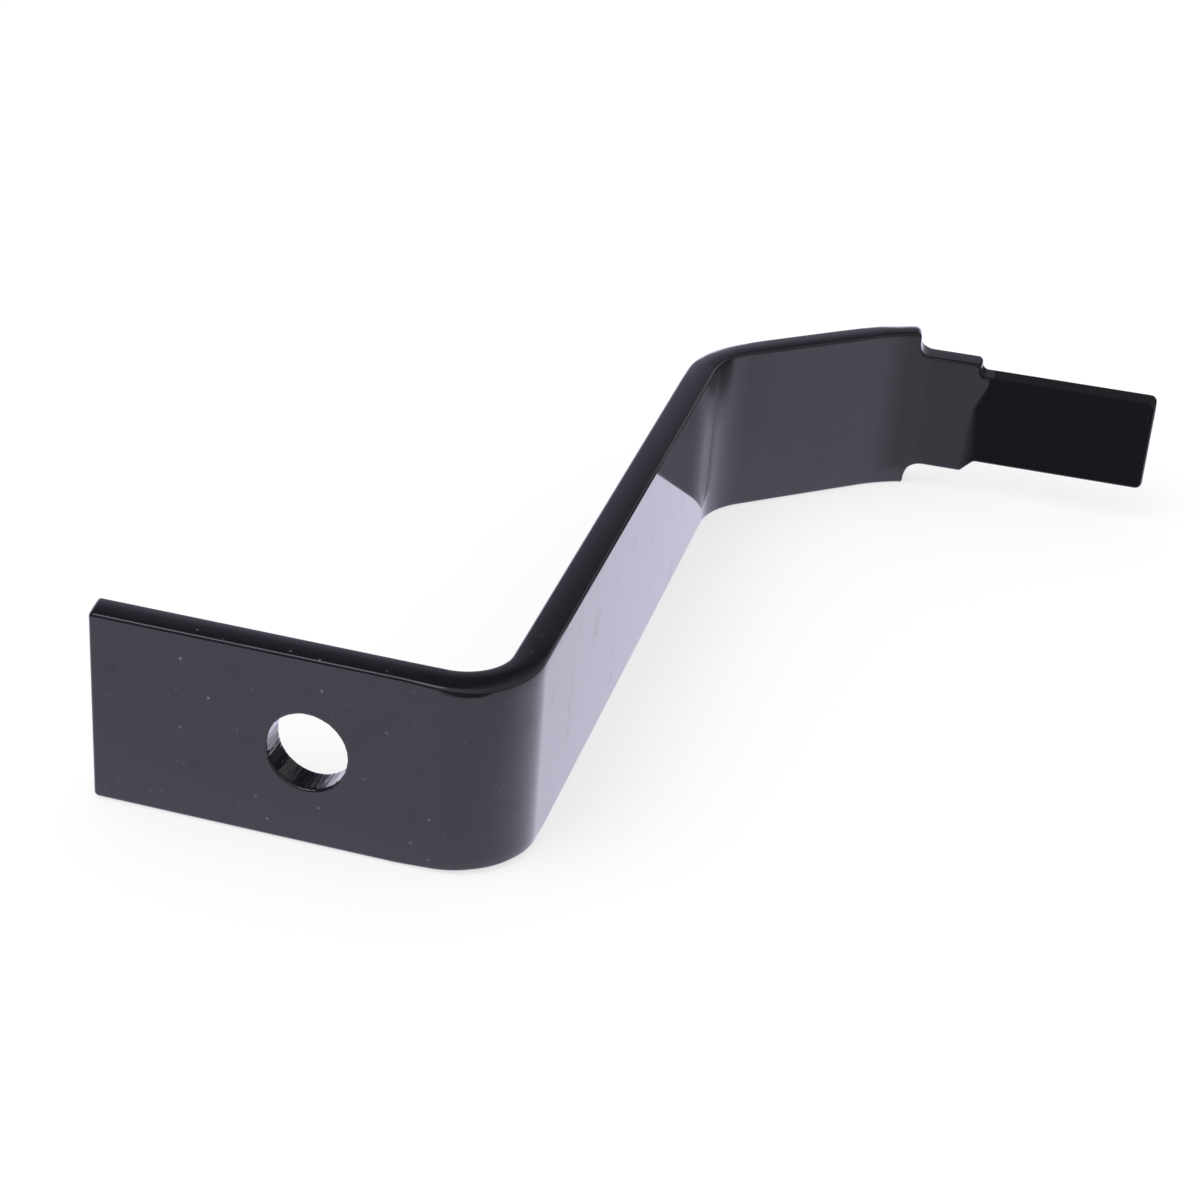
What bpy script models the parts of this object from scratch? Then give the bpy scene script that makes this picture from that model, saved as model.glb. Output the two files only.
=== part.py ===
# Folded flat bar bracket: a bolt flange, a long web and a stepped tongue, all one piece of steel.
# Metres, +Z up. The bar stands on its long lower edge. +X runs along the bolt flange to the first fold,
# +Y from the flange's front face to its back, and the web leaves the flange towards +Y.

from math import ceil, cos, pi, radians, sin

import bmesh
import bpy
from mathutils import Vector

# Bar stock
BAR_WIDTH = 0.025
BAR_THICKNESS = 0.004
EDGE_ROUNDING = 0.0004

# The bolt flange's free end is sheared: its corners are nearly sharp, and its back sticks out by the slant
END_CORNER_RADIUS = 0.0006
END_SLANT = 0.0007

# Straight lengths, in order from the bolt flange's free end
FLANGE_LENGTH = 0.0419
WEB_LENGTH = 0.0893
ARM_LENGTH = 0.02135

# Folds, each with its angle and inside radius. Seen from above, the first turns left and the others right
FIRST_FOLD_ANGLE = radians(91.35)
FIRST_FOLD_RADIUS = 0.0057
SECOND_FOLD_ANGLE = radians(49.1)
SECOND_FOLD_RADIUS = 0.0112
SWEEP_ANGLE = radians(14.4)
SWEEP_RADIUS = 0.0247
SHOULDER_FOLD_ANGLE = radians(26.0)
SHOULDER_FOLD_RADIUS = 0.0040

# At a fold the bar's edges draw in on the outside and swell a little on the inside: the share of the surface
# strain that flows across the bar there, and how far from the edge and from the fold it reaches
OUTSIDE_FLOW = 0.28
INSIDE_FLOW = 0.05
FLOW_REACH = 0.0040

# Bolt hole, on the bar's centre line
HOLE_DIAMETER = 0.0098
HOLE_FROM_END = 0.0267

# Stepped tongue. TIP_LENGTH is the straight part from the last fold to the tip, and the neck starts inside that
# fold. Both edges of the bar step in alike, but the steps on the lower edge have sharper tips, and the first of
# them a rounder root
TIP_LENGTH = 0.0353
FIRST_STEP = 0.0036
UPPER_ROOT_RADIUS = 0.0020
LOWER_ROOT_RADIUS = 0.0030
NECK_LENGTH = 0.0097
SECOND_STEP = 0.0019
SECOND_STEP_ROOT_RADIUS = 0.0010
UPPER_TIP_RADIUS = 0.0008
LOWER_TIP_RADIUS = 0.0005
TONGUE_LENGTH = 0.0265
TIP_CORNER_RADIUS = 0.0010

# The neck's lower corner is cut on a slant instead of square
LOWER_CORNER_SLANT = 0.0019

# Coat
COAT_COLOUR = (0.012, 0.011, 0.015, 1.0)
COAT_ROUGHNESS = 0.12

# Facets. A point this near to a cut counts as lying on it, so that no slivers are left beside it
MERGE_DISTANCE = 0.00001
CUT_TOLERANCE = 0.00008
FOLD_FACET_ANGLE = radians(5.0)
CORNER_FACET_ANGLE = radians(18.0)
HOLE_FACETS = 48
EDGE_FACETS = 3

OBJECT_NAME = "bracket"


def neutral_length(angle, inside_radius):
    """Length that a fold takes of the flat bar, along the middle of its thickness."""
    return angle * (inside_radius + BAR_THICKNESS / 2)


# Each stretch of the bar: its length when flat, and the angle that it turns through
STRETCHES = (
    (FLANGE_LENGTH, 0.0),
    (neutral_length(FIRST_FOLD_ANGLE, FIRST_FOLD_RADIUS), FIRST_FOLD_ANGLE),
    (WEB_LENGTH, 0.0),
    (neutral_length(SECOND_FOLD_ANGLE, SECOND_FOLD_RADIUS), -SECOND_FOLD_ANGLE),
    (ARM_LENGTH, 0.0),
    (neutral_length(SWEEP_ANGLE, SWEEP_RADIUS), -SWEEP_ANGLE),
    (neutral_length(SHOULDER_FOLD_ANGLE, SHOULDER_FOLD_RADIUS), -SHOULDER_FOLD_ANGLE),
    (TIP_LENGTH, 0.0),
)

FLAT_LENGTH = sum(length for length, angle in STRETCHES)
SECOND_SHOULDER = FLAT_LENGTH - TONGUE_LENGTH
FIRST_SHOULDER = SECOND_SHOULDER - NECK_LENGTH


def corner_arc(before, corner, after, radius):
    """Points of the arc that rounds a corner of the flat outline."""
    towards_before = (before - corner).normalized()
    towards_after = (after - corner).normalized()
    half_opening = towards_before.angle(towards_after) / 2
    centre = corner + (towards_before + towards_after).normalized() * radius / sin(half_opening)
    reach = radius * cos(half_opening) / sin(half_opening)
    first = corner + towards_before * reach - centre
    turn = pi - 2 * half_opening
    if first.cross(corner + towards_after * reach - centre) < 0:
        turn = -turn
    steps = max(2, ceil(abs(turn) / CORNER_FACET_ANGLE))
    points = []
    for step in range(steps + 1):
        angle = turn * step / steps
        points.append(centre + Vector((first.x * cos(angle) - first.y * sin(angle),
                                       first.x * sin(angle) + first.y * cos(angle))))
    return points


def flat_outline():
    """The bar's outline before folding, with x along the bar and y across it."""
    neck_low, tongue_low = FIRST_STEP, FIRST_STEP + SECOND_STEP
    neck_high, tongue_high = BAR_WIDTH - neck_low, BAR_WIDTH - tongue_low
    slant = LOWER_CORNER_SLANT / 2
    corners = (
        (0.0, 0.0, END_CORNER_RADIUS),
        (FIRST_SHOULDER, 0.0, LOWER_TIP_RADIUS),
        (FIRST_SHOULDER, neck_low, LOWER_ROOT_RADIUS),
        (SECOND_SHOULDER - slant, neck_low, LOWER_TIP_RADIUS),
        (SECOND_SHOULDER + slant, tongue_low, SECOND_STEP_ROOT_RADIUS),
        (FLAT_LENGTH, tongue_low, TIP_CORNER_RADIUS),
        (FLAT_LENGTH, tongue_high, TIP_CORNER_RADIUS),
        (SECOND_SHOULDER, tongue_high, SECOND_STEP_ROOT_RADIUS),
        (SECOND_SHOULDER, neck_high, UPPER_TIP_RADIUS),
        (FIRST_SHOULDER, neck_high, UPPER_ROOT_RADIUS),
        (FIRST_SHOULDER, BAR_WIDTH, UPPER_TIP_RADIUS),
        (0.0, BAR_WIDTH, END_CORNER_RADIUS),
    )
    places = [Vector(corner[:2]) for corner in corners]
    outline = []
    for index, corner in enumerate(corners):
        before, after = places[index - 1], places[(index + 1) % len(places)]
        outline += corner_arc(before, places[index], after, corner[2])
    return outline


def hole_outline():
    """The bolt hole's circle on the flat bar."""
    centre = Vector((HOLE_FROM_END, BAR_WIDTH / 2))
    turns = [2 * pi * step / HOLE_FACETS for step in range(HOLE_FACETS)]
    return [centre + Vector((cos(turn), sin(turn))) * HOLE_DIAMETER / 2 for turn in turns]


def flat_blank():
    """The punched and notched bar before folding, as one closed mesh with its edges rounded."""
    curve = bpy.data.curves.new("blank_outline", "CURVE")
    curve.dimensions = "2D"
    curve.fill_mode = "BOTH"
    curve.extrude = BAR_THICKNESS / 2 - EDGE_ROUNDING
    curve.bevel_depth = EDGE_ROUNDING
    curve.bevel_resolution = EDGE_FACETS - 1
    curve.offset = -EDGE_ROUNDING
    for outline in (flat_outline(), hole_outline()):
        spline = curve.splines.new("POLY")
        spline.points.add(len(outline) - 1)
        for point, place in zip(spline.points, outline):
            point.co = (place.x, place.y, 0.0, 1.0)
        spline.use_cyclic_u = True
    blank = bpy.data.objects.new("blank", curve)
    bpy.context.scene.collection.objects.link(blank)
    graph = bpy.context.evaluated_depsgraph_get()
    mesh = bpy.data.meshes.new_from_object(blank.evaluated_get(graph))
    bpy.data.objects.remove(blank)
    bpy.data.curves.remove(curve)

    shape = bmesh.new()
    shape.from_mesh(mesh)
    bpy.data.meshes.remove(mesh)
    bmesh.ops.remove_doubles(shape, verts=shape.verts, dist=MERGE_DISTANCE)
    bmesh.ops.dissolve_limit(shape, angle_limit=radians(1), verts=shape.verts, edges=shape.edges)
    bmesh.ops.recalc_face_normals(shape, faces=shape.faces)
    return shape


def slant_free_end(shape):
    """Leans the free end's face, so that it runs out towards the flange's back."""
    for vert in shape.verts:
        if vert.co.x <= END_CORNER_RADIUS + MERGE_DISTANCE:
            vert.co.x -= END_SLANT * (vert.co.z / BAR_THICKNESS + 0.5)


def cut_at_folds(shape):
    """Cuts the flat blank across at each fold's facets, and twice on each side of it, where its edges start to
    flow, so that it can bend there."""
    start = 0.0
    for length, angle in STRETCHES:
        if angle:
            facets = ceil(abs(angle) / FOLD_FACET_ANGLE)
            places = [start + length * step / facets for step in range(facets + 1)]
            for reach in (FLOW_REACH / 2, FLOW_REACH):
                places += [start - reach, start + length + reach]
            for place in places:
                cut_across(shape, place)
        start += length


def cut_across(shape, along):
    bmesh.ops.bisect_plane(shape, geom=shape.verts[:] + shape.edges[:] + shape.faces[:], dist=CUT_TOLERANCE,
                           plane_co=(along, 0.0, 0.0), plane_no=(1.0, 0.0, 0.0))


def folded_place(along, depth):
    """Place on the plan of a point of the flat bar. along is its distance from the free end, and depth its height
    over the middle of the thickness, positive towards the flange's back."""
    place, heading = Vector((0.0, 0.0)), 0.0
    for length, angle in STRETCHES:
        inside = min(along, length)
        if angle:
            radius = length / angle
            centre = place + Vector((-sin(heading), cos(heading))) * radius
            heading += angle * inside / length
            place = centre + Vector((sin(heading), -cos(heading))) * radius
        else:
            place = place + Vector((cos(heading), sin(heading))) * inside
        along -= inside
        if along <= 0.0:
            break
    return place + Vector((-sin(heading), cos(heading))) * depth


def curvature_near(along):
    """Turn of the bar for each metre, averaged over the reach of the edges' flow to both sides."""
    low, high = along - FLOW_REACH, along + FLOW_REACH
    start, turned = 0.0, 0.0
    for length, angle in STRETCHES:
        shared = min(high, start + length) - max(low, start)
        turned += angle * max(0.0, shared) / length
        start += length
    return turned / (high - low)


def fold(shape):
    """Bends the flat blank. Its length and depth go to the plan, and its width becomes the height."""
    middle = BAR_WIDTH / 2
    for vert in shape.verts:
        along, across, depth = vert.co
        place = folded_place(along, depth)
        strain = depth * curvature_near(along)
        share = INSIDE_FLOW if strain > 0.0 else OUTSIDE_FLOW
        nearness = max(0.0, 1.0 - (middle - abs(across - middle)) / FLOW_REACH)
        outwards = 1.0 if across > middle else -1.0
        vert.co = (place.x, place.y, across + outwards * share * strain * FLOW_REACH * nearness)


def stand_on_origin(shape):
    """Moves the folded bar so that the middle of its box is over the origin and its lowest point at z = 0."""
    low = [min(vert.co[axis] for vert in shape.verts) for axis in range(3)]
    high = [max(vert.co[axis] for vert in shape.verts) for axis in range(3)]
    shift = Vector((-(low[0] + high[0]) / 2, -(low[1] + high[1]) / 2, -low[2]))
    bmesh.ops.translate(shape, verts=shape.verts, vec=shift)


def gloss_black_coat():
    material = bpy.data.materials.new("gloss_black_coat")
    material.use_nodes = True
    surface = material.node_tree.nodes["Principled BSDF"]
    surface.inputs["Base Color"].default_value = COAT_COLOUR
    surface.inputs["Roughness"].default_value = COAT_ROUGHNESS
    surface.inputs["Metallic"].default_value = 0.0
    return material


def build():
    for old in list(bpy.data.objects):
        bpy.data.objects.remove(old)
    collection = bpy.data.collections.new("folded_bracket")
    bpy.context.scene.collection.children.link(collection)

    shape = flat_blank()
    slant_free_end(shape)
    cut_at_folds(shape)
    fold(shape)
    stand_on_origin(shape)
    bmesh.ops.recalc_face_normals(shape, faces=shape.faces)
    mesh = bpy.data.meshes.new(OBJECT_NAME)
    shape.to_mesh(mesh)
    shape.free()
    mesh.shade_smooth()
    mesh.set_sharp_from_angle(angle=radians(30))
    mesh.materials.append(gloss_black_coat())
    collection.objects.link(bpy.data.objects.new(OBJECT_NAME, mesh))


build()
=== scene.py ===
from math import ceil, cos, pi, radians, sin

import bmesh
import bpy
from mathutils import Matrix, Vector


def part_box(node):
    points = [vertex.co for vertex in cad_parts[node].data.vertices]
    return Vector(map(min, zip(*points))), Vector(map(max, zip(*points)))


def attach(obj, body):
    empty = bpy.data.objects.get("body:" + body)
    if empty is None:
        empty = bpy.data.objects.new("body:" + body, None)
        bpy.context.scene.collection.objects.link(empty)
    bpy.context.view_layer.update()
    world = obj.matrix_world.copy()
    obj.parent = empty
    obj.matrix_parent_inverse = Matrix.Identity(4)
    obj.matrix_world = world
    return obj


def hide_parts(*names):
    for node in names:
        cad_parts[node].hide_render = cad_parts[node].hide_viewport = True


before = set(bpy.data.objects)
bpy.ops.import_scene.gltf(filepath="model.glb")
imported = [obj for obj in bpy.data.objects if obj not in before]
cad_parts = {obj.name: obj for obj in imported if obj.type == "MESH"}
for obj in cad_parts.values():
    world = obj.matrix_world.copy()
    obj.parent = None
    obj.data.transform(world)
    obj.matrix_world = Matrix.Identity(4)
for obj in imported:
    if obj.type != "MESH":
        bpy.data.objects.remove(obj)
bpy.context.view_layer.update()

# Folded flat bar bracket on a white table. Lengths in metres, +X along the bolt flange, +Z across the bar
print("frame loaded")


def toLinear(hexColour):
    channels = [int(hexColour[place:place + 2], 16) / 255 for place in (1, 3, 5)]
    return tuple(c / 12.92 if c <= 0.04045 else ((c + 0.055) / 1.055) ** 2.4 for c in channels) + (1.0,)


def addNode(tree, kind, inputs=(), **settings):
    # inputs go to the sockets in order or by name: outputs and nodes are linked, other values are set
    node = tree.nodes.new(kind)
    for name, value in settings.items():
        setattr(node, name, value)
    for key, value in (inputs.items() if isinstance(inputs, dict) else enumerate(inputs)):
        target = node.inputs[key] if isinstance(key, int) else next(
            socket for socket in node.inputs if socket.name == key and socket.enabled)
        if isinstance(value, bpy.types.Node):
            value = next(socket for socket in value.outputs if socket.enabled)
        if isinstance(value, bpy.types.NodeSocket):
            tree.links.new(value, target)
        elif value is not None:
            target.default_value = value
    return node


# sizes of the bar, flat and folded
bar = {
    "width": 0.025,
    "thickness": 0.004,
    "edgeRounding": 0.0004,
    "edgeCrown": 0.00013,        # the rolled long edges stand a little proud in the middle
    "endCorner": 0.0006,
    "endSlant": 0.0007,
    "flange": 0.0419,            # straight lengths between the folds
    "web": 0.0893,
    "arm": 0.02135,
    "tip": 0.0353,
    "folds": (                   # turn in degrees, left is positive, and inside radius
        (91.35, 0.0057),
        (-49.1, 0.0112),
        (-14.4, 0.0247),
        (-26.0, 0.0040),
    ),
    "outsideFlow": 0.28,         # edges draw in outside a fold and swell a little inside it
    "insideFlow": 0.05,
    "flowReach": 0.004,          # from a long edge, and along the bar to both sides of a fold
    "foldSoftening": 0.00013,    # how far the outer corner of a fold's edge gives way
    "softeningReach": 0.0014,    # from the corner
    "yieldStrain": (-0.25, -0.02),    # strain at which it gives way fully, and not at all
    "holeRadius": 0.0049,
    "holeFromEnd": 0.0267,
    "holeTear": 0.00005,         # depth of the punch's tear marks down the hole's wall
    "tearWidth": 0.0003125,      # of one mark, which is 0.12 as wide as long
    "tearSqueeze": 0.12,
    "tearFade": (0.0001, 0.0005),    # distances from the wall where the marks start to fade and end
    "firstStep": 0.0036,
    "upperRoot": 0.0020,
    "lowerRoot": 0.0030,
    "neck": 0.0097,
    "secondStep": 0.0019,
    "secondRoot": 0.0010,
    "upperTip": 0.0008,
    "lowerTip": 0.0005,
    "tongue": 0.0265,
    "tongueCorner": 0.0010,
    "slant": 0.0019,             # of the lower second step
    "hollowReach": 0.006,        # the coat's dull hollow runs on this far behind a fold
    "hollowFade": (0.0001, 0.0005),   # turn times depth where it starts and is whole
    "facetAngle": 7.0,           # degrees between the points of a corner's arc
    "holeFacets": 240,
    "rimFacets": 5,
    "pathStep": 0.0001,          # of the folded middle line
    "foldPitch": 0.0003,         # distance between cuts across the bar, inside a fold and outside it
    "flatPitch": 0.0020,
    "foldMargin": 0.001,         # the close cuts start this far before a fold
    "flatWithin": 0.5,           # degrees between faces that become one before the cuts
    "weld": 0.00001,
    "cutSnap": 0.00003,          # a cut uses the points that are this near to it
    "edgeCuts": (0.0005, 0.0009, 0.0014, 0.0020, 0.0028, 0.0040),    # from each long edge
    "depthCuts": (-0.0012, -0.0008, -0.0004, 0.0, 0.0004, 0.0008, 0.0012),
}


def foldSpans():
    # start, end and turn of each fold, measured along the flat bar
    straights = (bar["flange"], bar["web"], bar["arm"], 0.0)
    start, spans = 0.0, []
    for straight, (turn, radius) in zip(straights, bar["folds"]):
        start += straight
        length = abs(radians(turn)) * (radius + bar["thickness"] / 2)
        spans.append((start, start + length, radians(turn)))
        start += length
    return spans


spans = foldSpans()
flatLength = spans[-1][1] + bar["tip"]


def cornerArc(before, corner, after, radius):
    towardsBefore, towardsAfter = (before - corner).normalized(), (after - corner).normalized()
    half = towardsBefore.angle(towardsAfter) / 2
    centre = corner + (towardsBefore + towardsAfter).normalized() * radius / sin(half)
    reach = radius * cos(half) / sin(half)
    first = corner + towardsBefore * reach - centre
    turn = pi - 2 * half
    if first.cross(corner + towardsAfter * reach - centre) < 0:
        turn = -turn
    steps = max(3, ceil(abs(turn) / radians(bar["facetAngle"])))
    turns = [turn * step / steps for step in range(steps + 1)]
    return [centre + Vector((first.x * cos(a) - first.y * sin(a), first.x * sin(a) + first.y * cos(a)))
            for a in turns]


def flatOutline():
    width, length = bar["width"], flatLength
    second = length - bar["tongue"]
    first = second - bar["neck"]
    neck, tongue = bar["firstStep"], bar["firstStep"] + bar["secondStep"]
    half = bar["slant"] / 2
    corners = (
        (0.0, 0.0, bar["endCorner"]),
        (first, 0.0, bar["lowerTip"]),
        (first, neck, bar["lowerRoot"]),
        (second - half, neck, bar["lowerTip"]),
        (second + half, tongue, bar["secondRoot"]),
        (length, tongue, bar["tongueCorner"]),
        (length, width - tongue, bar["tongueCorner"]),
        (second, width - tongue, bar["secondRoot"]),
        (second, width - neck, bar["upperTip"]),
        (first, width - neck, bar["upperRoot"]),
        (first, width, bar["upperTip"]),
        (0.0, width, bar["endCorner"]),
    )
    places = [Vector(corner[:2]) for corner in corners]
    outline = []
    for index, corner in enumerate(corners):
        outline += cornerArc(places[index - 1], places[index], places[(index + 1) % len(places)], corner[2])
    return outline


def holeOutline():
    centre = Vector((bar["holeFromEnd"], bar["width"] / 2))
    turns = [2 * pi * step / bar["holeFacets"] for step in range(bar["holeFacets"])]
    return [centre + Vector((cos(turn), sin(turn))) * bar["holeRadius"] for turn in turns]


def flatBlank():
    curve = bpy.data.curves.new("blankOutline", "CURVE")
    curve.dimensions = "2D"
    curve.fill_mode = "BOTH"
    curve.extrude = bar["thickness"] / 2 - bar["edgeRounding"]
    curve.bevel_depth = bar["edgeRounding"]
    curve.bevel_resolution = bar["rimFacets"] - 1
    curve.offset = -bar["edgeRounding"]
    for outline in (flatOutline(), holeOutline()):
        spline = curve.splines.new("POLY")
        spline.points.add(len(outline) - 1)
        for point, place in zip(spline.points, outline):
            point.co = (place.x, place.y, 0.0, 1.0)
        spline.use_cyclic_u = True
    holder = bpy.data.objects.new("blankCurve", curve)
    bpy.context.scene.collection.objects.link(holder)
    graph = bpy.context.evaluated_depsgraph_get()
    mesh = bpy.data.meshes.new_from_object(holder.evaluated_get(graph))
    bpy.data.objects.remove(holder)

    shape = bmesh.new()
    shape.from_mesh(mesh)
    bmesh.ops.remove_doubles(shape, verts=shape.verts, dist=bar["weld"])
    bmesh.ops.dissolve_limit(shape, angle_limit=radians(bar["flatWithin"]), verts=shape.verts,
                             edges=shape.edges)
    bmesh.ops.recalc_face_normals(shape, faces=shape.faces)
    for vert in shape.verts:      # the free end is sheared out of square, its back sticks out
        if vert.co.x <= bar["endCorner"] + bar["weld"]:
            vert.co.x -= bar["endSlant"] * (vert.co.z / bar["thickness"] + 0.5)

    cuts, place, margin = [], 0.0, bar["foldMargin"]
    while place < flatLength:
        inFold = any(start - margin < place < end + margin for start, end, turn in spans)
        place += bar["foldPitch"] if inFold else bar["flatPitch"]
        cuts.append(((place, 0.0, 0.0), (1.0, 0.0, 0.0)))
    rows = round(bar["width"] / bar["flatPitch"])      # the outermost ones give way to the edge cuts
    across = [bar["width"] * row / rows for row in range(3, rows - 2)]
    across += [edge for cut in bar["edgeCuts"] for edge in (cut, bar["width"] - cut)]
    cuts += [((0.0, row, 0.0), (0.0, 1.0, 0.0)) for row in across]
    cuts += [((0.0, 0.0, depth), (0.0, 0.0, 1.0)) for depth in bar["depthCuts"]]
    for point, normal in cuts:
        bmesh.ops.bisect_plane(shape, geom=shape.verts[:] + shape.edges[:] + shape.faces[:],
                               dist=bar["cutSnap"], plane_co=point, plane_no=normal)
    # slanted edges, left from the curve's fill, would crumple the folds
    slanted = [edge for edge in shape.edges if all(abs(face.normal.z) > 0.999 for face in edge.link_faces)
               and all(abs(edge.verts[0].co[axis] - edge.verts[1].co[axis]) > 0.000001 for axis in (0, 1))]
    bmesh.ops.dissolve_edges(shape, edges=slanted, use_verts=True)
    mesh.clear_geometry()
    shape.to_mesh(mesh)
    shape.free()
    mesh.name = "flatBlank"
    return mesh


def headingNodes(tree, along, source):
    # turn of the bar at a distance along it: each fold adds its angle evenly over its length
    total = 0.0
    for index in range(len(spans)):
        name = "fold %d " % (index + 1)
        part = addNode(tree, "ShaderNodeMapRange", {
            "Value": along, "From Min": source[name + "start"], "From Max": source[name + "end"],
            "To Max": source[name + "turn"]}, clamp=True)
        total = addNode(tree, "ShaderNodeMath", (total, part), operation="ADD")
    return total


def tearNodes(tree, place, source):
    # tear marks down the wall of the punched hole, which fade into the faces round it
    flat = addNode(tree, "ShaderNodeVectorMath", (place, (1.0, 1.0, 0.0)), operation="MULTIPLY")
    middle = addNode(tree, "ShaderNodeMath", (source["width"], 0.5), operation="MULTIPLY")
    centre = addNode(tree, "ShaderNodeCombineXYZ", (source["hole from end"], middle))
    spoke = addNode(tree, "ShaderNodeVectorMath", (flat, centre), operation="SUBTRACT")
    fromCentre = addNode(tree, "ShaderNodeVectorMath", (spoke,), operation="LENGTH").outputs["Value"]
    fromWall = addNode(tree, "ShaderNodeMath", (fromCentre, source["hole radius"]), operation="SUBTRACT")
    gap = addNode(tree, "ShaderNodeMath", (fromWall,), operation="ABSOLUTE")
    fade = addNode(tree, "ShaderNodeMapRange", {
        "Value": gap, "From Min": source["tear band"], "From Max": source["tear fade"],
        "To Min": 1.0, "To Max": 0.0}, interpolation_type="SMOOTHSTEP")
    squeezed = addNode(tree, "ShaderNodeVectorMath", (place, (1.0, 1.0, bar["tearSqueeze"])),
                       operation="MULTIPLY")
    grain = addNode(tree, "ShaderNodeTexNoise", {
        "Vector": squeezed, "Scale": 1 / bar["tearWidth"], "Detail": 2.0, "Roughness": 0.7})
    # the noise hardly leaves its middle half, which swings the wall to both sides
    swing = addNode(tree, "ShaderNodeMapRange", {"Value": grain, "From Min": 0.25, "From Max": 0.75,
                                                 "To Min": -1.0, "To Max": 1.0})
    depth = addNode(tree, "ShaderNodeMath", (swing, source["tear"]), operation="MULTIPLY")
    size = addNode(tree, "ShaderNodeMath", (depth, fade), operation="MULTIPLY")
    outwards = addNode(tree, "ShaderNodeVectorMath", (spoke,), operation="NORMALIZE")
    shift = addNode(tree, "ShaderNodeVectorMath", {"Vector": outwards, "Scale": size}, operation="SCALE")
    return addNode(tree, "ShaderNodeVectorMath", (place, shift), operation="ADD")


def foldTree(material):
    tree = bpy.data.node_groups.new("foldBar", "GeometryNodeTree")
    values = {}
    tree.interface.new_socket("Geometry", in_out="INPUT", socket_type="NodeSocketGeometry")
    wanted = [("length", flatLength), ("width", bar["width"]), ("half thickness", bar["thickness"] / 2),
              ("step", bar["pathStep"]), ("reach", bar["flowReach"]), ("outside flow", bar["outsideFlow"]),
              ("inside flow", bar["insideFlow"]), ("softening", bar["foldSoftening"]),
              ("softening reach", bar["softeningReach"]), ("crown", bar["edgeCrown"]),
              ("hole from end", bar["holeFromEnd"]), ("hole radius", bar["holeRadius"]),
              ("tear", bar["holeTear"]), ("tear band", bar["tearFade"][0]), ("tear fade", bar["tearFade"][1]),
              ("hollow reach", bar["hollowReach"])]
    for index, span in enumerate(spans):
        wanted += [("fold %d %s" % (index + 1, word), value)
                   for word, value in zip(("start", "end", "turn"), span)]
    for name, value in wanted:
        item = tree.interface.new_socket(name, in_out="INPUT", socket_type="NodeSocketFloat")
        values[item.identifier] = value
    tree.interface.new_socket("Geometry", in_out="OUTPUT", socket_type="NodeSocketGeometry")
    source = addNode(tree, "NodeGroupInput").outputs

    # the bar's middle line on the plan, summed up in short steps
    steps = addNode(tree, "ShaderNodeMath", (source["length"], source["step"]), operation="DIVIDE")
    # two points more than steps, so that the line never ends short of the bar
    count = addNode(tree, "ShaderNodeMath", (steps, 2.0), operation="ADD")
    line = addNode(tree, "GeometryNodeMeshLine", {"Count": count}, mode="OFFSET")
    half = addNode(tree, "ShaderNodeMath", (addNode(tree, "GeometryNodeInputIndex"), 0.5), operation="ADD")
    reached = addNode(tree, "ShaderNodeMath", (half, source["step"]), operation="MULTIPLY")
    stride = addNode(tree, "ShaderNodeVectorRotate", {
        "Vector": addNode(tree, "ShaderNodeCombineXYZ", (source["step"],)),
        "Angle": headingNodes(tree, reached, source)}, rotation_type="Z_AXIS")
    summed = addNode(tree, "GeometryNodeAccumulateField", {"Value": stride}, data_type="FLOAT_VECTOR")
    bent = addNode(tree, "GeometryNodeSetPosition", {
        "Geometry": line, "Position": summed.outputs["Trailing"]})
    path = addNode(tree, "GeometryNodeMeshToCurve", {"Mesh": bent})

    # where a point is on the flat blank, and how hard the bar is bent there
    place = addNode(tree, "GeometryNodeInputPosition")
    flat = addNode(tree, "ShaderNodeSeparateXYZ", (tearNodes(tree, place, source),))
    along, across, depth = flat.outputs
    ahead = addNode(tree, "ShaderNodeMath", (along, source["reach"]), operation="ADD")
    behind = addNode(tree, "ShaderNodeMath", (along, source["reach"]), operation="SUBTRACT")
    turning = addNode(tree, "ShaderNodeMath", (headingNodes(tree, ahead, source),
                                               headingNodes(tree, behind, source)), operation="SUBTRACT")
    window = addNode(tree, "ShaderNodeMath", (source["reach"], 2.0), operation="MULTIPLY")
    bend = addNode(tree, "ShaderNodeMath", (turning, window), operation="DIVIDE")
    strain = addNode(tree, "ShaderNodeMath", (depth, bend), operation="MULTIPLY")

    # the long edges draw in outside a fold and swell a little inside it
    squeezed = addNode(tree, "ShaderNodeMath", (strain, 0.0), operation="GREATER_THAN")
    share = addNode(tree, "ShaderNodeMapRange", {"Value": squeezed, "To Min": source["outside flow"],
                                                 "To Max": source["inside flow"]})
    middle = addNode(tree, "ShaderNodeMath", (source["width"], 0.5), operation="MULTIPLY")
    offMiddle = addNode(tree, "ShaderNodeMath", (across, middle), operation="SUBTRACT")
    offSide = addNode(tree, "ShaderNodeMath", (offMiddle,), operation="ABSOLUTE")
    fromEdge = addNode(tree, "ShaderNodeMath", (middle, offSide), operation="SUBTRACT")
    nearness = addNode(tree, "ShaderNodeMapRange", {"Value": fromEdge, "From Max": source["reach"],
                                                    "To Min": source["reach"], "To Max": 0.0})
    flow = addNode(tree, "ShaderNodeMath", (strain, share), operation="MULTIPLY")
    swell = addNode(tree, "ShaderNodeMath", (flow, nearness), operation="MULTIPLY")

    # crown of the long edges
    level = addNode(tree, "ShaderNodeMath", (depth, source["half thickness"]), operation="DIVIDE")
    bow = addNode(tree, "ShaderNodeMath", (level, 2.0), operation="POWER")
    crown = addNode(tree, "ShaderNodeMapRange", {"Value": fromEdge, "From Max": source["reach"],
                                                 "To Min": source["crown"], "To Max": 0.0})
    dip = addNode(tree, "ShaderNodeMath", (bow, crown), operation="MULTIPLY")

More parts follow.
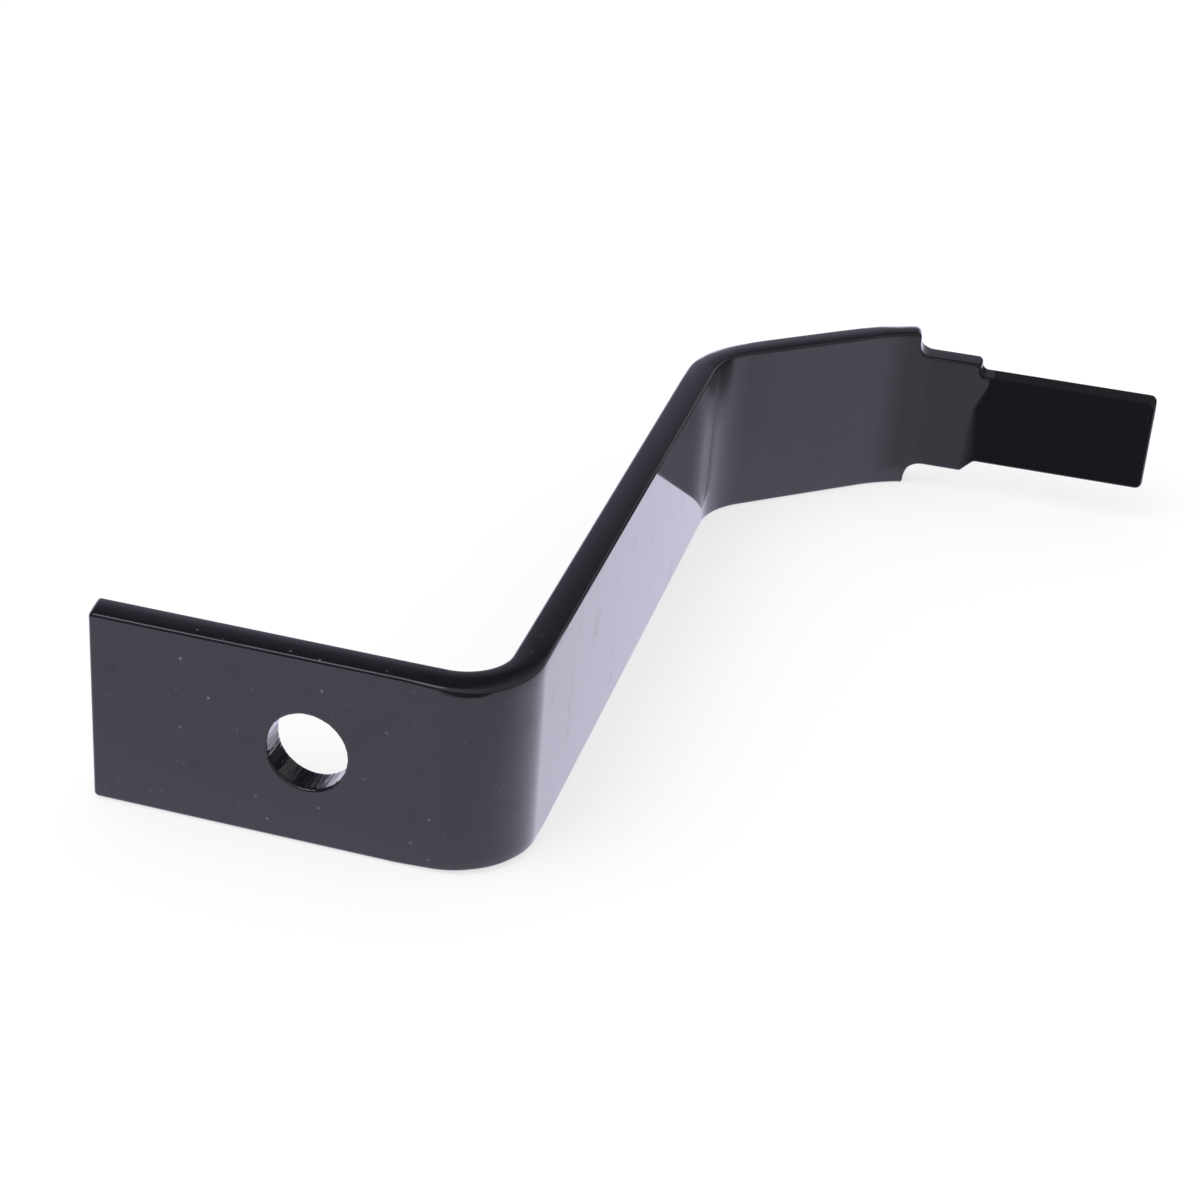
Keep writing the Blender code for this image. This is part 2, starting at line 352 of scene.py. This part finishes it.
    # the stretched outer corner of a fold gives way, inwards from the side and down from the edge
    side = addNode(tree, "ShaderNodeMath", (depth,), operation="ABSOLUTE")
    fromFace = addNode(tree, "ShaderNodeMath", (source["half thickness"], side), operation="SUBTRACT")
    fromCorner = addNode(tree, "ShaderNodeCombineXYZ", (fromEdge, fromFace))
    corner = addNode(tree, "ShaderNodeVectorMath", (fromCorner,), operation="LENGTH").outputs["Value"]
    close = addNode(tree, "ShaderNodeMapRange", {
        "Value": corner, "From Max": source["softening reach"], "To Min": 1.0, "To Max": 0.0},
        interpolation_type="SMOOTHSTEP")
    whole, none = bar["yieldStrain"]
    stretched = addNode(tree, "ShaderNodeMapRange", {"Value": strain, "From Min": whole, "From Max": none,
                                                     "To Min": source["softening"], "To Max": 0.0})
    yielded = addNode(tree, "ShaderNodeMath", (close, stretched), operation="MULTIPLY")

    inwards = addNode(tree, "ShaderNodeMath", (addNode(tree, "ShaderNodeMath", (depth,), operation="SIGN"),
                                               yielded), operation="MULTIPLY")
    newDepth = addNode(tree, "ShaderNodeMath", (depth, inwards), operation="SUBTRACT")
    rise = addNode(tree, "ShaderNodeMath", (swell, dip), operation="SUBTRACT")
    growth = addNode(tree, "ShaderNodeMath", (rise, yielded), operation="SUBTRACT")
    upOrDown = addNode(tree, "ShaderNodeMath", (offMiddle,), operation="SIGN")
    height = addNode(tree, "ShaderNodeMath", (growth, upOrDown, across), operation="MULTIPLY_ADD")

    # each point goes to its place on the middle line, its depth to the side and its width upwards
    onLine = addNode(tree, "GeometryNodeSampleCurve", {"Curves": path, "Length": along}, mode="LENGTH")
    pastEnd = addNode(tree, "ShaderNodeMath", (along, 0.0), operation="MINIMUM")
    aside = addNode(tree, "ShaderNodeVectorRotate", {
        "Vector": addNode(tree, "ShaderNodeCombineXYZ", (pastEnd, newDepth, height)),
        "Angle": headingNodes(tree, along, source)}, rotation_type="Z_AXIS")
    raised = addNode(tree, "ShaderNodeVectorMath", (onLine.outputs["Position"], aside), operation="ADD")

    # hollow side of the folds, which the coat's material reads. It is stored before the points move, because
    # it is worked out from their places on the flat bar
    before = addNode(tree, "ShaderNodeMath", (along, source["hollow reach"]), operation="SUBTRACT")
    turned = addNode(tree, "ShaderNodeMath", (headingNodes(tree, along, source),
                                              headingNodes(tree, before, source)), operation="SUBTRACT")
    hollowness = addNode(tree, "ShaderNodeMath", (turned, depth), operation="MULTIPLY")
    first, last = bar["hollowFade"]
    hollow = addNode(tree, "ShaderNodeMapRange", {"Value": hollowness, "From Min": first, "From Max": last})
    noted = addNode(tree, "GeometryNodeStoreNamedAttribute", {
        "Geometry": source["Geometry"], "Name": "foldHollow", "Value": hollow}, data_type="FLOAT")
    folded = addNode(tree, "GeometryNodeSetPosition", {"Geometry": noted, "Position": raised})
    # the bar's width and depth trade places in the fold, which turns the mesh inside out
    outwards = addNode(tree, "GeometryNodeFlipFaces", {"Mesh": folded})
    realized = addNode(tree, "GeometryNodeRealizeInstances", {"Geometry": outwards})
    finished = addNode(tree, "GeometryNodeSetMaterial", {"Geometry": realized, "Material": material})
    addNode(tree, "NodeGroupOutput", (finished,))
    return tree, values


def foldedBar(material):
    blank = bpy.data.objects.new("blank", flatBlank())
    bpy.context.scene.collection.objects.link(blank)
    tree, values = foldTree(material)
    fold = blank.modifiers.new("fold", "NODES")
    fold.node_group = tree
    for identifier, value in values.items():
        fold[identifier] = value
    graph = bpy.context.evaluated_depsgraph_get()
    mesh = bpy.data.meshes.new_from_object(blank.evaluated_get(graph))
    bpy.data.objects.remove(blank)

    lows = [min(vert.co[axis] for vert in mesh.vertices) for axis in range(3)]
    mesh.transform(Matrix.Translation(Vector(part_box("bracket")[0]) - Vector(lows)))
    mesh.shade_smooth()
    mesh.materials.clear()
    mesh.materials.append(material)
    piece = bpy.data.objects.new("foldedBar", mesh)
    bpy.context.scene.collection.objects.link(piece)
    evenShading = piece.modifiers.new("evenShading", "WEIGHTED_NORMAL")   # keeps the wide faces flat in gloss
    evenShading.mode = "FACE_AREA"
    evenShading.weight = 50
    return piece


coat = {
    "colour": "#151418",
    "dust": "#8d8b98",
    "clearLayer": (1.0, 0.76),   # share of the clear gloss on clean enamel and on a smudge
    "refraction": 1.44,
    "roughness": (0.04, 0.09),
    "clearRoughness": 0.03,
    "hollowRoughness": 0.24,     # the spray lies thinner and duller in the hollow of a fold
    "peelSize": 1.1,             # mm, from bump to bump of the sprayed coat
    "peelHeight": 0.00002,
    "peelShare": 0.03,           # how much of that height the gloss shows
    "smudgeSize": 5.0,           # mm
    "smudged": (0.56, 0.72),     # noise levels where a smudge starts and is whole
    "dulled": (0.40, 0.75),      # the same for the duller enamel round it
    "nibSpacing": 1.9,           # mm, the fine dust
    "nibSize": 0.27,
    "nibGaps": 0.45,             # share of its grid that stays empty
    "nibShare": 0.6,             # how pale it is beside the large grains
    "nibHeight": 0.00005,
    "nibRise": 0.5,              # how much of that height the gloss shows
    "gritSpacing": 3.6,          # mm, the few large grains
    "gritSize": 0.30,
    "gritGaps": 0.5,
    "dustyUpTo": (-0.014, -0.004, 0.12),    # X where the flange's dust thins out, and its share beyond
}


def specks(tree, place, spacing, size, gaps):
    # domes of random strength in the cells of a grid, the weakest left out
    cells = addNode(tree, "ShaderNodeTexVoronoi", {"Vector": place, "Scale": 1000.0 / spacing})
    dome = addNode(tree, "ShaderNodeMapRange", {
        "Value": cells.outputs["Distance"], "From Max": size / spacing, "To Min": 1.0, "To Max": 0.0},
        interpolation_type="SMOOTHSTEP")
    random = addNode(tree, "ShaderNodeSeparateColor", (cells.outputs["Color"],))
    strength = addNode(tree, "ShaderNodeMapRange", {"Value": random, "From Min": gaps})
    return addNode(tree, "ShaderNodeMath", (dome, strength), operation="MULTIPLY")


def stovedEnamel():
    # gloss black enamel, sprayed on steel and stoved: black that mirrors what stands round it, faintly wavy
    # from the spray, with dust nibs and a few duller smudges
    material = bpy.data.materials.new("stovedEnamel")
    material.use_nodes = True
    tree = material.node_tree
    surface = tree.nodes["Principled BSDF"]
    place = addNode(tree, "ShaderNodeTexCoord").outputs["Object"]

    dust = specks(tree, place, coat["nibSpacing"], coat["nibSize"], coat["nibGaps"])
    grit = specks(tree, place, coat["gritSpacing"], coat["gritSize"], coat["gritGaps"])
    grains = addNode(tree, "ShaderNodeMath", (dust, coat["nibShare"], grit), operation="MULTIPLY_ADD",
                     use_clamp=True)
    start, end, least = coat["dustyUpTo"]
    dusty = addNode(tree, "ShaderNodeMapRange", {
        "Value": addNode(tree, "ShaderNodeSeparateXYZ", (place,)), "From Min": start, "From Max": end,
        "To Min": 1.0, "To Max": least})
    nibs = addNode(tree, "ShaderNodeMath", (grains, dusty), operation="MULTIPLY")
    colour = addNode(tree, "ShaderNodeMix", {"Factor": nibs, "A": toLinear(coat["colour"]),
                                             "B": toLinear(coat["dust"])}, data_type="RGBA")

    smudge = addNode(tree, "ShaderNodeTexNoise", {"Vector": place, "Scale": 1000.0 / coat["smudgeSize"],
                                                  "Detail": 5.0, "Roughness": 0.65})
    handled = addNode(tree, "ShaderNodeMapRange", {
        "Value": smudge, "From Min": coat["smudged"][0], "From Max": coat["smudged"][1],
        "To Min": coat["clearLayer"][0], "To Max": coat["clearLayer"][1]}, interpolation_type="SMOOTHSTEP")
    gloss = addNode(tree, "ShaderNodeMapRange", {
        "Value": smudge, "From Min": coat["dulled"][0], "From Max": coat["dulled"][1],
        "To Min": coat["roughness"][0], "To Max": coat["roughness"][1]})

    hollow = addNode(tree, "ShaderNodeAttribute", attribute_name="foldHollow").outputs["Fac"]
    dull = addNode(tree, "ShaderNodeMath", (hollow, coat["hollowRoughness"]), operation="MULTIPLY")
    rough = addNode(tree, "ShaderNodeMath", (gloss, dull), operation="MAXIMUM")
    roughCoat = addNode(tree, "ShaderNodeMath", (dull, coat["clearRoughness"]), operation="MAXIMUM")

    peel = addNode(tree, "ShaderNodeTexNoise", {
        "Vector": place, "Scale": 1000.0 / coat["peelSize"], "Detail": 1.0})
    wavy = addNode(tree, "ShaderNodeBump", {
        "Strength": coat["peelShare"], "Distance": coat["peelHeight"], "Height": peel})
    raised = addNode(tree, "ShaderNodeBump", {
        "Strength": coat["nibRise"], "Distance": coat["nibHeight"], "Height": nibs, "Normal": wavy})

    surface.inputs["IOR"].default_value = coat["refraction"]
    surface.inputs["Coat IOR"].default_value = coat["refraction"]
    for name, node in (("Base Color", colour), ("Roughness", rough), ("Coat Weight", handled),
                       ("Coat Roughness", roughCoat), ("Normal", raised)):
        tree.links.new(next(socket for socket in node.outputs if socket.enabled), surface.inputs[name])
    return material


bracket = foldedBar(stovedEnamel())
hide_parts("bracket")
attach(bracket, "root")
print("bracket folded: %d faces" % len(bracket.data.polygons))


studio = {
    "tableSize": 8.0,
    "table": "#fbfbfb",
    "tableInGloss": "#ece8ff",
    "below": -0.00005,           # the bracket stands this much clear of the table
    "tableFront": -0.125,        # painted front edge of the board in the gloss, beyond which the gloss shows a painted dark reflection of the room
    "frontSoftness": 0.01,
    "paintedFalloffY": (-0.078, -0.050, 0.88, 1.04),    # along Y: from, to, and the table's tone in the gloss at each, a painted falloff of the light towards the front
    "paintedFalloffX": (0.012, 0.030, 1.0, 0.93),     # the same painted falloff along X
    # painted dark reflection of an unlit room, shown in the gloss only by the table's sheet and the dome
    "room": "#504d55",
    "shadowShare": 0.30,
    "worldStrength": 0.82,
}


def emptyMaterial(name):
    material = bpy.data.materials.new(name)
    material.use_nodes = True
    material.node_tree.nodes.clear()
    return material, material.node_tree


def plainSheet(name, corners, material):
    mesh = bpy.data.meshes.new(name)
    mesh.from_pydata(corners, [], [tuple(range(len(corners)))])
    mesh.materials.append(material)
    sheet = bpy.data.objects.new(name, mesh)
    bpy.context.scene.collection.objects.link(sheet)
    return sheet


def glossOnly(thing):
    for kind in ("camera", "diffuse", "shadow", "transmission", "volume_scatter"):
        setattr(thing, "visible_" + kind, False)


def whiteTable():
    # matt white laminate board: white to the camera, with the bracket's soft shadow on it. In the gloss it
    # glows pale lavender, with painted light that falls off towards the front and to the right, and a painted
    # dark room beyond a line in front
    material, tree = emptyMaterial("whiteLaminate")
    path = addNode(tree, "ShaderNodeLightPath").outputs
    lit = addNode(tree, "ShaderNodeBsdfDiffuse", {"Color": toLinear(studio["table"])})
    white = addNode(tree, "ShaderNodeEmission", {"Color": (1.0, 1.0, 1.0, 1.0)})
    seen = addNode(tree, "ShaderNodeMath", (path["Is Camera Ray"], 1 - studio["shadowShare"]),
                   operation="MULTIPLY")
    plain = addNode(tree, "ShaderNodeMixShader", (seen, lit, white))
    place = addNode(tree, "ShaderNodeTexCoord").outputs["Object"]
    parts = addNode(tree, "ShaderNodeSeparateXYZ", (place,)).outputs
    front, softness = studio["tableFront"], studio["frontSoftness"]
    # in the gloss only, the sheet is painted dark beyond its painted front edge: a painted reflection of the
    # room
    sheet = addNode(tree, "ShaderNodeMapRange", {
        "Value": parts["Y"], "From Min": front - softness, "From Max": front + softness},
        interpolation_type="SMOOTHSTEP")
    tone = addNode(tree, "ShaderNodeMix", {"Factor": sheet, "A": toLinear(studio["room"]),
                                           "B": toLinear(studio["tableInGloss"])}, data_type="RGBA")
    # painted light level of the table in the gloss, falling off along Y and X
    levels = []
    for axis, name in (("Y", "paintedFalloffY"), ("X", "paintedFalloffX")):
        start, end, atStart, atEnd = studio[name]
        levels.append(addNode(tree, "ShaderNodeMapRange", {
            "Value": parts[axis], "From Min": start, "From Max": end, "To Min": atStart, "To Max": atEnd},
            interpolation_type="SMOOTHSTEP"))
    level = addNode(tree, "ShaderNodeMath", levels, operation="MULTIPLY")
    pale = addNode(tree, "ShaderNodeEmission", {"Color": tone, "Strength": level})
    mirrored = addNode(tree, "ShaderNodeMath", (path["Is Glossy Ray"], path["Is Transmission Ray"]),
                       operation="MAXIMUM")
    both = addNode(tree, "ShaderNodeMixShader", (mirrored, plain, pale))
    addNode(tree, "ShaderNodeOutputMaterial", (both,))
    half, below = studio["tableSize"] / 2, studio["below"]
    plainSheet("whiteTable", [(-half, -half, below), (half, -half, below), (half, half, below),
                              (-half, half, below)], material)


# tones of a dome that glows in the gloss only: painted reflections on the enamel, its pale front band a
# painted highlight on the folds
domeTones = {                         # places are shares of the radius
    "radius": 2.4,
    "facets": 48,
    "back": ((0.0, "#ece8ff"), (0.11, "#ece8ff"), (0.17, "#8a8395"), (0.34, "#857f91"), (0.50, "#52505b"),
             (0.64, "#32313a"), (1.0, "#2b2b31")),       # tones from the table up
    "front": ((0.0, "#504d55"), (0.08, "#504d55"), (0.24, "#d3cccb"), (1.0, "#d3cccb")),
    "right": "#b0a8b0",
    "rightFrom": (-0.02, 0.45),  # X where the right side's tone starts and is whole
    "frontFrom": (0.0, -0.35),   # Y of the same for the front
    "frontUpTo": (0.60, 0.25),   # X where the front's tones end and are whole
    "leftUpTo": (-0.26, -0.12),  # X where the dark left end of the front stops
    "dimmer": (-0.35, -0.08, 1.25, 0.80),    # along X: from, to, and the brightness of the painted reflection at each
}


def glossOnlyDome():
    # glowing dome round and over the table, dull and seen only in the gloss: its tones paint the enamel's
    # reflections and highlights. It is pale low down at the back, dark above, grey to the right and dark low
    # down in front
    material, tree = emptyMaterial("paintedReflectionGlow")
    place = addNode(tree, "ShaderNodeTexCoord").outputs["Object"]
    unit = addNode(tree, "ShaderNodeVectorMath", {"Vector": place, "Scale": 1 / domeTones["radius"]},
                   operation="SCALE")
    parts = addNode(tree, "ShaderNodeSeparateXYZ", (unit,)).outputs
    tones = []
    for stops in (domeTones["back"], domeTones["front"]):
        ramp = addNode(tree, "ShaderNodeValToRGB", (parts["Z"],))
        while len(ramp.color_ramp.elements) < len(stops):
            ramp.color_ramp.elements.new(0.5)
        for element, (position, colour) in zip(ramp.color_ramp.elements, stops):
            element.position = position
            element.color = toLinear(colour)
        tones.append(ramp)
    right, inFront, notRight, ahead = [addNode(tree, "ShaderNodeMapRange", {
        "Value": parts[axis], "From Min": domeTones[name][0], "From Max": domeTones[name][1]})
        for axis, name in (("X", "rightFrom"), ("Y", "frontFrom"), ("X", "frontUpTo"), ("X", "leftUpTo"))]
    sides = addNode(tree, "ShaderNodeMix", {"Factor": right, "A": tones[0], "B": toLinear(domeTones["right"])},
                    data_type="RGBA")
    front = addNode(tree, "ShaderNodeMath", (inFront, notRight), operation="MULTIPLY")
    ends = addNode(tree, "ShaderNodeMix", {"Factor": ahead, "A": toLinear(studio["room"]), "B": tones[1]},
                   data_type="RGBA")
    around = addNode(tree, "ShaderNodeMix", {"Factor": front, "A": sides, "B": ends}, data_type="RGBA")
    start, end, atStart, atEnd = domeTones["dimmer"]
    dimmer = addNode(tree, "ShaderNodeMapRange", {
        "Value": parts["X"], "From Min": start, "From Max": end, "To Min": atStart, "To Max": atEnd})
    glow = addNode(tree, "ShaderNodeEmission", {"Color": around, "Strength": dimmer})
    addNode(tree, "ShaderNodeOutputMaterial", (glow,))

    shape = bmesh.new()
    bmesh.ops.create_uvsphere(shape, u_segments=domeTones["facets"], v_segments=domeTones["facets"],
                              radius=domeTones["radius"])
    underneath = [face for face in shape.faces if face.calc_center_median().z < 0.0]
    bmesh.ops.delete(shape, geom=underneath, context="FACES")
    mesh = bpy.data.meshes.new("glossOnlyDome")
    shape.to_mesh(mesh)
    shape.free()
    mesh.materials.append(material)
    dome = bpy.data.objects.new("glossOnlyDome", mesh)
    bpy.context.scene.collection.objects.link(dome)
    glossOnly(dome)


# sheets that glow dark in the gloss only: a painted dark reflection on the tongue and a painted grey on the
# neck
darkSheets = {
    "tone": "#3a3a40",
    "foot": 0.0010,              # height above the table
    "frontDarkSheet": ((0.0153, 0.0575), (0.0583, 0.0589), 0.0500),    # left end, right end and top
    "backDarkSheet": ((0.0285, 0.0690), (0.0600, 0.0700), 0.0550),
    "edge": (0.004, 0.018, 0.0300, 0.0308),        # two heights, and X of the black's left edge at each
    "bulge": (0.0175, 0.0125, -0.0016),            # heights where the edge starts to swell and has swollen
    "softness": (0.016, 0.006, 0.0002, 0.0022),    # two heights, and half the edge's width at each
    "veil": (0.0150, 0.0235, 0.36),                # X where a thin grey, a painted shade on the neck's reflection, starts and is whole, and how thick
}


def darkReflectionSheets():
    # small dark sheets, seen only in the gloss, close in front of the tongue and behind it: a painted dark
    # reflection on the tongue. The left edge of the black bulges, and is sharp above and soft below
    material, tree = emptyMaterial("paintedDarkReflection")
    place = addNode(tree, "ShaderNodeTexCoord").outputs["Object"]
    parts = addNode(tree, "ShaderNodeSeparateXYZ", (place,)).outputs
    edge, softness = [addNode(tree, "ShaderNodeMapRange", {
        "Value": parts["Z"], "From Min": start, "From Max": end, "To Min": atStart, "To Max": atEnd})
        for start, end, atStart, atEnd in (darkSheets["edge"], darkSheets["softness"])]
    start, end, swollen = darkSheets["bulge"]
    bulge = addNode(tree, "ShaderNodeMapRange", {"Value": parts["Z"], "From Min": start, "From Max": end,
                                                 "To Max": swollen}, interpolation_type="SMOOTHSTEP")
    middle = addNode(tree, "ShaderNodeMath", (edge, bulge), operation="ADD")
    outer = addNode(tree, "ShaderNodeMath", (middle, softness), operation="SUBTRACT")
    inner = addNode(tree, "ShaderNodeMath", (middle, softness), operation="ADD")
    cover = addNode(tree, "ShaderNodeMapRange", {"Value": parts["X"], "From Min": outer, "From Max": inner},
                    interpolation_type="SMOOTHSTEP")
    start, end, thickest = darkSheets["veil"]
    veil = addNode(tree, "ShaderNodeMapRange", {"Value": parts["X"], "From Min": start, "From Max": end,
                                                "To Max": thickest}, interpolation_type="SMOOTHSTEP")
    shade = addNode(tree, "ShaderNodeMath", (cover, veil), operation="MAXIMUM")
    clear = addNode(tree, "ShaderNodeBsdfTransparent")
    black = addNode(tree, "ShaderNodeEmission", {"Color": toLinear(darkSheets["tone"])})
    addNode(tree, "ShaderNodeOutputMaterial", (addNode(tree, "ShaderNodeMixShader", (shade, clear, black)),))
    foot = darkSheets["foot"]
    for name in ("frontDarkSheet", "backDarkSheet"):
        left, right, top = darkSheets[name]
        glossOnly(plainSheet(name, [(*left, foot), (*right, foot), (*right, top), (*left, top)], material))


lamps = {                        # place, size, radiance, colour and whether the gloss sees it
    "overheadBox": ((-0.5, -0.5, 1.4), 1.2, 1.6, "#ffffff", False),
    "softBox": ((-0.58, -1.00, 1.34), 0.9, 2.1, "#ebe7ff", True),
}


def softLamp(name):
    # square, and turned towards the middle of the table
    place, size, radiance, colour, inGloss = lamps[name]
    lamp = bpy.data.lights.new(name, "AREA")
    lamp.shape = "SQUARE"
    lamp.size = size
    lamp.color = toLinear(colour)[:3]
    lamp.energy = radiance * pi * size * size
    holder = bpy.data.objects.new(name, lamp)
    holder.location = place
    holder.rotation_euler = (-Vector(place)).to_track_quat("-Z", "Y").to_euler()
    bpy.context.scene.collection.objects.link(holder)
    holder.visible_camera = False
    holder.visible_glossy = inGloss


def whiteSurround():
    world = bpy.data.worlds.new("whiteSurround")
    bpy.context.scene.world = world
    world.use_nodes = True
    tree = world.node_tree
    tree.nodes.clear()
    path = addNode(tree, "ShaderNodeLightPath").outputs
    mirrored = addNode(tree, "ShaderNodeMath", (path["Is Glossy Ray"], path["Is Transmission Ray"]),
                       operation="MAXIMUM")
    seen = addNode(tree, "ShaderNodeMath", (path["Is Camera Ray"], mirrored), operation="MAXIMUM")
    strength = addNode(tree, "ShaderNodeMapRange", {
        "Value": seen, "To Min": studio["worldStrength"], "To Max": 1.0})
    glow = addNode(tree, "ShaderNodeBackground", {"Color": (1.0, 1.0, 1.0, 1.0), "Strength": strength})
    addNode(tree, "ShaderNodeOutputWorld", (glow,))


whiteTable()
glossOnlyDome()
darkReflectionSheets()
for name in lamps:
    softLamp(name)
whiteSurround()
print("table and light set")


viewpoint = {                    # fitted to the bracket's outline in the photograph
    "place": (0.05933, -0.28831, 0.16351),
    "right": (0.95895, 0.27504, 0.06898),
    "up": (-0.18978, 0.44178, 0.87682),
    "back": (0.21069, -0.85392, 0.47584),
    "lens": 74.087,
}


def photographCamera():
    camera = bpy.data.cameras.new("photographCamera")
    camera.lens = viewpoint["lens"]
    camera.sensor_width = 36.0
    camera.clip_start, camera.clip_end = 0.01, 50.0
    eye = bpy.data.objects.new("photographCamera", camera)
    bpy.context.scene.collection.objects.link(eye)
    axes = Matrix((viewpoint["right"], viewpoint["up"], viewpoint["back"])).transposed().to_4x4()
    eye.matrix_world = Matrix.Translation(viewpoint["place"]) @ axes
    bpy.context.scene.camera = eye


photographCamera()
bpy.context.scene.view_settings.view_transform = "Standard"

print("done")
